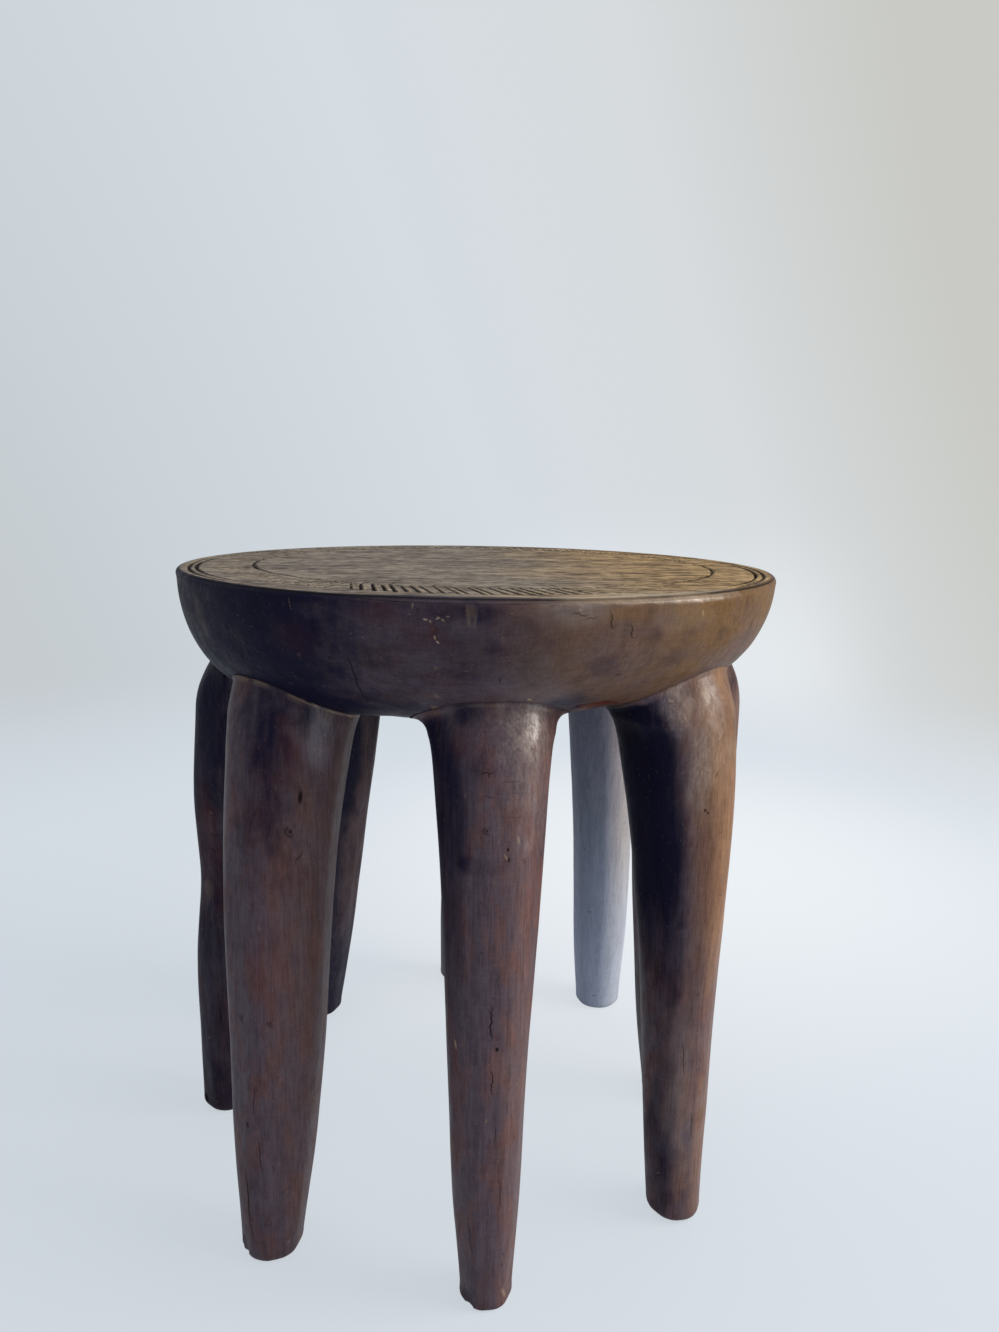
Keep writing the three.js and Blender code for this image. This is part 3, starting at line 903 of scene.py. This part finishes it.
        # Painted warm light on the sides that face the window.
        sun = normals[:, 0] * 0.9 - 0.2 * normals[:, 1] + 0.2 * cloud
        warm_light_share = self.gold * ease(sun, 0, 0.85) * (0.5 + 0.5 * ease(up, 50 * mm, 230 * mm))
        looks = {
            "dirt": np.clip(dirt, 0, 1),
            "night": np.clip(night, 0, 1),
            "pale": self.dust * dust,
            "gold": warm_light_share * (1 - 0.7 * back),
            # A pale veil of painted light, strongest low down and on faces that are not turned to
            # the back.
            "bloom": self.bloom * (1 - 0.55 * ease(up, 60 * mm, 400 * mm)) * (1 - 0.85 * back),
        }
        return depth, looks


legs = {
    "leg_front": dict(
        girth=(0.97, 1.04, 1, 0.99, 0.99, 1, 1.01), reach=(0.01, 0, 0, 0),
        side=(-0.055, -0.06, -0.04, -0.05), web=0.35, foot=0.7, fillet=11, facing=4,
        dark_side=0.75, dark_from=0.3,
    ),
    "leg_front_right": dict(
        girth=(1.08, 1.05, 1.02, 1.02, 1.07, 1.11, 1.07), reach=(-0.065, -0.02, 0.025, -0.02),
        side=(-0.01, 0.01, 0.035, 0), shoulder=0.5, web=1.2, foot=1.3, fillet=7, lip=0.5,
        facing=-44, dark_side=1.15, dark_from=0, gold=0.9,
    ),
    "leg_right": dict(
        girth=(1.12, 1.25, 1.28, 1.31, 1.3, 1.14, 1), reach=(-0.44, -0.33, -0.17, -0.03),
        side=(-0.12, -0.06, 0, 0), shoulder=0.9, fillet=7, facing=10,
        night=0.3, dark_side=0.6, dark_from=0.1, gold=0.5,
    ),
    "leg_back_right": dict(
        girth=(1.2, 1.22, 1.13, 1.02, 0.98, 0.99, 1), reach=(-0.08, -0.025, 0, 0),
        side=(0.005, -0.025, -0.02, -0.01), shoulder=0.8, fillet=7, facing=30,
        dark_side=0.1, gold=0.65, bloom=0.94,
    ),
    "leg_back": dict(
        girth=(1.12, 1.06, 1, 1, 1, 1, 1), reach=(-0.07, -0.03, 0, 0),
        side=(0.005, -0.06, -0.1, -0.13), web=0.8, fillet=8, facing=-8,
        night=0.2, gold=0.6, bloom=0.15,
    ),
    "leg_back_left": dict(
        girth=(1.2, 1.3, 1.3, 1.28, 1.27, 1.22, 1.17), reach=(0, 0, 0, 0),
        side=(0, -0.05, -0.115, -0.2), shoulder=0.8, web=0.6, fillet=6, facing=20,
        night=0.68, dark_side=0.6, dark_from=-0.7, gold=0.3, bloom=0.04,
    ),
    "leg_left": dict(
        girth=(1.19, 1.19, 1.16, 1, 1.14, 1.08, 1), reach=(0.045, 0.05, 0.02, -0.02),
        side=(-0.07, -0.05, -0.02, 0), web=0.6, foot=1.5, fillet=5, lip=0.3, facing=45,
        night=0.56, dark_from=0.1,
    ),
    "leg_front_left": dict(
        girth=(1.15, 1.26, 1.25, 1.2, 1.15, 1.14, 1.17), reach=(0.13, 0.1, 0.09, -0.1),
        side=(0.045, 0.005, -0.05, -0.14), shoulder=0.5, web=0.4, foot=1.3, fillet=3, lip=1.1,
        facing=54, dark_side=0.1, dust=0.26,
    ),
}

# Marks: degrees round the leg and mm up, turn, length, width, depth, and then how dirty and
# pale, where one isn't simply dirty
leg_marks = {
    "leg_front": {
        "crack": [
            (-9, 402, 90, 9, 1.4, 0.8), (-7, 386, 80, 8, 1.2, 0.6), (-3, 226, 3, 24, 2, 1.6),
            (1, 182, 0, 20, 1.6, 1.2), (-2, 236, 8, 10, 1.6, 1.2), (12, 396, 92, 14, 1, 0.4, 0.6),
            (20, 388, 87, 12, 1, 0.4, 0.5), (16, 372, 90, 16, 1, 0.4, 0.5),
            (30, 340, 40, 5, 1.6, 0.5, 0.7), (-34, 60, 5, 26, 1.4, 0.8), (18, 96, 3, 22, 1.2, 0.7),
            (8, 140, 0, 18, 1.2, 0.6),
        ],
        "hole": [(11, 350, 0, 3, 2, 1.2), (12, 343, 0, 4, 2, 1.2), (6, 207, 0, 4, 3, 1.4)],
        "knot": [(-10, 363, 0, 7, 6, 0.8)],
        "chip": [
            (-56, 204, 10, 8, 3, 0.5, 0, 0.6), (22, 356, 10, 7, 2.4, 0.4, 0, 0.3),
            (9, 345, 30, 6, 2, 0.4, 0, 0.35), (-46, 9, 0, 20, 16, 1.8, 0.2),
            (38, 12, 30, 12, 3, 1, 0, 0.35),
        ],
    },
    "leg_front_left": {
        "crack": [
            (68, 324, -30, 12, 1.6, 0.7), (8, 52, 4, 60, 2, 1.4), (30, 96, 6, 30, 1.4, 0.8),
            (22, 140, -4, 24, 1.2, 0.7),
        ],
        "hole": [(64, 367, 0, 12, 3.4, 1.4), (11, 118, 0, 5, 2.6, 1)],
        "knot": [(58, 343, 0, 11, 9, 0.8), (5, 201, 0, 8, 6, 0.7), (43, 201, 0, 7, 6, 0.7)],
        "chip": [
            (50, 434.5, 75, 9, 1.4, 0.3, 0, 0.3), (60, 431.5, 70, 8, 1.8, 0.4, 0, 0.5),
            (96, 420, 80, 8, 2, 0.4, 0, 0.5), (-16, 11, 10, 22, 14, 2, 0.3),
        ],
    },
    "leg_front_right": {
        "crack": [(-50, 150, 4, 30, 1.2, 0.6), (-30, 90, 2, 24, 1.2, 0.6)],
        "hole": [(-36, 354, 0, 3, 2.4, 1), (-33, 352, 0, 2.6, 2, 1)],
        "chip": [(-52, 436, 60, 5, 1.4, 0.4, 0, 0.5), (-44, 424, 20, 4, 1.6, 0.4, 0, 0.5)],
    },
    "leg_left": {
        "crack": [
            (62, 315, 85, 10, 1.6, 0.8), (61, 282, 95, 12, 1.8, 0.8), (60, 267, 90, 9, 1.6, 0.8),
        ],
        "hole": [(60, 424, 0, 4, 3, 1)],
        "chip": [(31, 11, 20, 12, 9, 2.2, 0.8)],
    },
}

# Stains: what each changes, degrees round and mm up, width, tallness, and how much. The glossy
# patches near the tops of the legs are painted highlights, the warm patches painted light and
# the grey patches a painted sheen, and the dark and dirty patches high on the left of the front
# and front right legs are painted shade.
leg_stains = {
    "leg_front": [
        ("red", -31, 420, 10, 12, 0.25), ("night", -25, 438, 12, 9, 0.5),
        ("night", -16, 405, 8, 16, 0.2), ("gloss", 28, 428, 18, 20, 1),
        ("gloss", 26, 405, 20, 50, 0.4), ("gloss", 55, 395, 18, 60, 0.4),
        ("night", -20, 337, 18, 7, 0.35),
    ],
    "leg_front_left": [
        ("night", 30, 370, 22, 80, 0.3), ("night", 20, 432, 26, 22, 0.25),
        ("night", 75, 420, 26, 18, 0.3), ("night", 0, 405, 14, 44, 0.3),
        ("red", 55, 395, 14, 22, 0.22), ("red", 63, 310, 12, 20, 0.25),
        ("red", 35, 240, 16, 50, 0.12), ("gloss", 72, 410, 11, 30, 0.5),
        ("bloom", 74, 405, 11, 30, 0.12), ("night", 54, 255, 26, 70, -0.3),
        ("red", 50, 255, 26, 70, 0.07), ("night", 20, 60, 24, 40, 0.15),
    ],
    "leg_front_right": [
        ("gloss", -46, 434, 12, 24, 1), ("gloss", -38, 395, 12, 54, 0.7),
        ("gloss", -18, 415, 18, 60, 0.5), ("gold", -20, 415, 24, 60, 0.3),
        ("bloom", -50, 110, 18, 80, 0.07), ("night", -88, 90, 15, 110, 0.4),
        ("dirt", -118, 418, 26, 22, 0.5), ("red", -30, 300, 12, 50, 0.12),
        ("gold", -62, 130, 16, 90, 0.35), ("night", -40, 200, 8, 60, 0.2),
    ],
    "leg_left": [
        ("pale", 42, 226, 8, 12, 0.1), ("red", 50, 300, 12, 30, 0.2),
        ("night", 55, 380, 24, 50, 0.3), ("night", 45, 262, 24, 56, -0.2),
        ("red", 45, 262, 24, 56, 0.2),
    ],
    "leg_back_left": [("night", 165, 300, 12, 80, 0.35)],
}

# Brown, red brown, and the warm colour painted where the window light falls.
leg_colours = (colour(79, 65, 73), colour(92, 66, 66), colour(132, 98, 71))
leg_wood = waxed_wood("leg_wood", "Z", *leg_colours)
chips_on_each_leg = 16
for index, (name, own) in enumerate(legs.items()):
    leg = Leg(index, own)
    rings, head = leg.rings()
    rows = with_kind(leg_marks.get(name, {}))
    luck = np.random.default_rng(60 + index)
    for _ in range(chips_on_each_leg):
        around, height, turn, length, choice = luck.uniform(0, 1, 5)
        stain = (0, 0.35 * choice) if choice > 0.5 else (0.8, 0)
        place = ("chip", 360 * around, 12 + 380 * height, 180 * turn)
        rows.append((*place, 2 + 4 * length, 1.4, 0.4, *stain))
    marks = [mark_on(leg.place, *row) for row in rows]
    stains = leg_stains.get(name, [])
    leg_skin = skin(rings, rings[0].mean(0), head)
    piece = make_piece("stool_" + name, *leg_skin, leg.place, marks, stains, leg.hew, leg_wood)
    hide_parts(name)
    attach(piece, "root")

# The floor
# A plain pale studio floor, matt, and evenly bright as if lit from all round, so that only
# faint shadows lie on it. Well away from the stool it gives way to the pale air behind it,
# and no line shows where it ends.
half = 12
fade_from, fade_to = 0.9, 2.4
floor_mesh = bpy.data.meshes.new("floor")
corners = [(-half, -half, 0), (half, -half, 0), (half, half, 0), (-half, half, 0)]
floor_mesh.from_pydata(corners, [], [(0, 1, 2, 3)])
floor = placed("floor", floor_mesh)
floor_paint, matt, spot = new_finish("floor_paint")
matt.inputs["Roughness"].default_value = 0.9
matt.inputs["Specular IOR Level"].default_value = 0.1
matt.inputs["Base Color"].default_value = colour(222, 228, 233)
paint = Tone(matt.outputs["BSDF"])
clear = spot.node("ShaderNodeBsdfTransparent", {}, {})
pale_glow = spot.node("ShaderNodeEmission", {}, {"Color": colour(236, 240, 243)})
plain_glow = spot.node("ShaderNodeEmission", {}, {"Color": colour(212, 219, 226)})
from_middle = spot.far_from(0, 0, 0)


def looks_there(nodes):
    """1 for rays of sight, straight or mirrored, and 0 for rays that gather light."""
    rays = nodes.new("ShaderNodeLightPath").outputs
    return Tone(rays["Is Camera Ray"]) + Tone(rays["Is Glossy Ray"])


def mixed(share, first, second):
    return share.node("ShaderNodeMixShader", {}, {0: share, 1: first, 2: second})


# The glow is painted paler to the right of and behind the stool, like light pooling there.
glow = mixed(spot.far_from(0.3, 0.6, 0).between(0.1, 0.8), pale_glow, plain_glow)
nodes = floor_paint.node_tree.nodes
looked_at = looks_there(nodes)
# Under the stool more of the even glow shows, which paints light over the shadow there.
lit = mixed(looked_at * (0.92 - 0.13 * from_middle.between(0.12, 0.3)), paint, glow)
floor_look = mixed(looked_at * from_middle.between(fade_from, fade_to), lit, clear)
floor_look.feed(nodes["Material Output"], "Surface")
floor.data.materials.append(floor_paint)

# The light
# Soft daylight from one large window on the right. The room is pale, brightest above and
# behind the stool, and dimmer on the left and in front.
world = bpy.data.worlds.new("room")
bpy.context.scene.world = world
world.use_nodes = True
room = world.node_tree.nodes
toward = Tone(room.new("ShaderNodeTexCoord").outputs["Generated"])
bright = 0.2 + 0.82 * toward.towards(0.66, 0.4, 0.63).between(-0.6, 0.85)
seen = looks_there(room)
across, upward = toward.towards(1, 0, 0), toward.towards(0, 0, 1)
wall_colours = [
    (0.25, colour(197, 203, 207)),
    (0.34, colour(203, 211, 217)),
    (0.5, colour(213, 220, 226)),
    (0.64, colour(215, 219, 222)),
    (0.75, colour(201, 202, 197)),
]
place = across * 0.5 + 0.5 + upward * 0.2
wall = place.node("ShaderNodeValToRGB", {"stops": wall_colours}, {"Fac": place})
behind = upward.between(0, -0.18) * across.between(0, 0.1) * across.between(0.44, 0.3)
wall = wall.times(1 + 0.15 * behind)
seen.blend(colour(232, 240, 255), wall).feed(room["Background"], "Color")
(bright * (1 - seen) + seen).feed(room["Background"], "Strength")

window_place = (2.64, -0.37, 1.7)
window_size = (1.5, 1.7)
window_power = 90
lamp = bpy.data.lights.new("window", "AREA")
lamp.shape = "RECTANGLE"
lamp.size, lamp.size_y = window_size
lamp.energy = window_power
lamp.color = (1, 0.93, 0.84)
window = placed("window", lamp)
window.location = window_place
window.rotation_mode = "QUATERNION"
window.rotation_quaternion = (Vector((0, 0, 0.35)) - Vector(window_place)).to_track_quat("-Z", "Y")
window.visible_camera = False

# The camera
# It stands at the photograph's place, just above the seat and close in front of the stool, and
# looks a little down.
camera_back = 809 * mm
camera_up = 584 * mm
look_right = math.radians(1.415)
look_down = math.radians(11.12)
roll = math.radians(1.06)
photo_tall, photo_focal = 1332, 925

lens = bpy.data.cameras.new("camera")
lens.sensor_width = 36
lens.lens = photo_focal / photo_tall * lens.sensor_width
camera = placed("camera", lens)
camera.matrix_world = (
    Matrix.Translation((seat_middle[0], seat_middle[1] - camera_back, camera_up))
    @ Matrix.Rotation(-look_right, 4, "Z")
    @ Matrix.Rotation(math.pi / 2 - look_down, 4, "X")
    @ Matrix.Rotation(roll, 4, "Z")
)
bpy.context.scene.camera = camera
bpy.context.scene.view_settings.view_transform = "Standard"
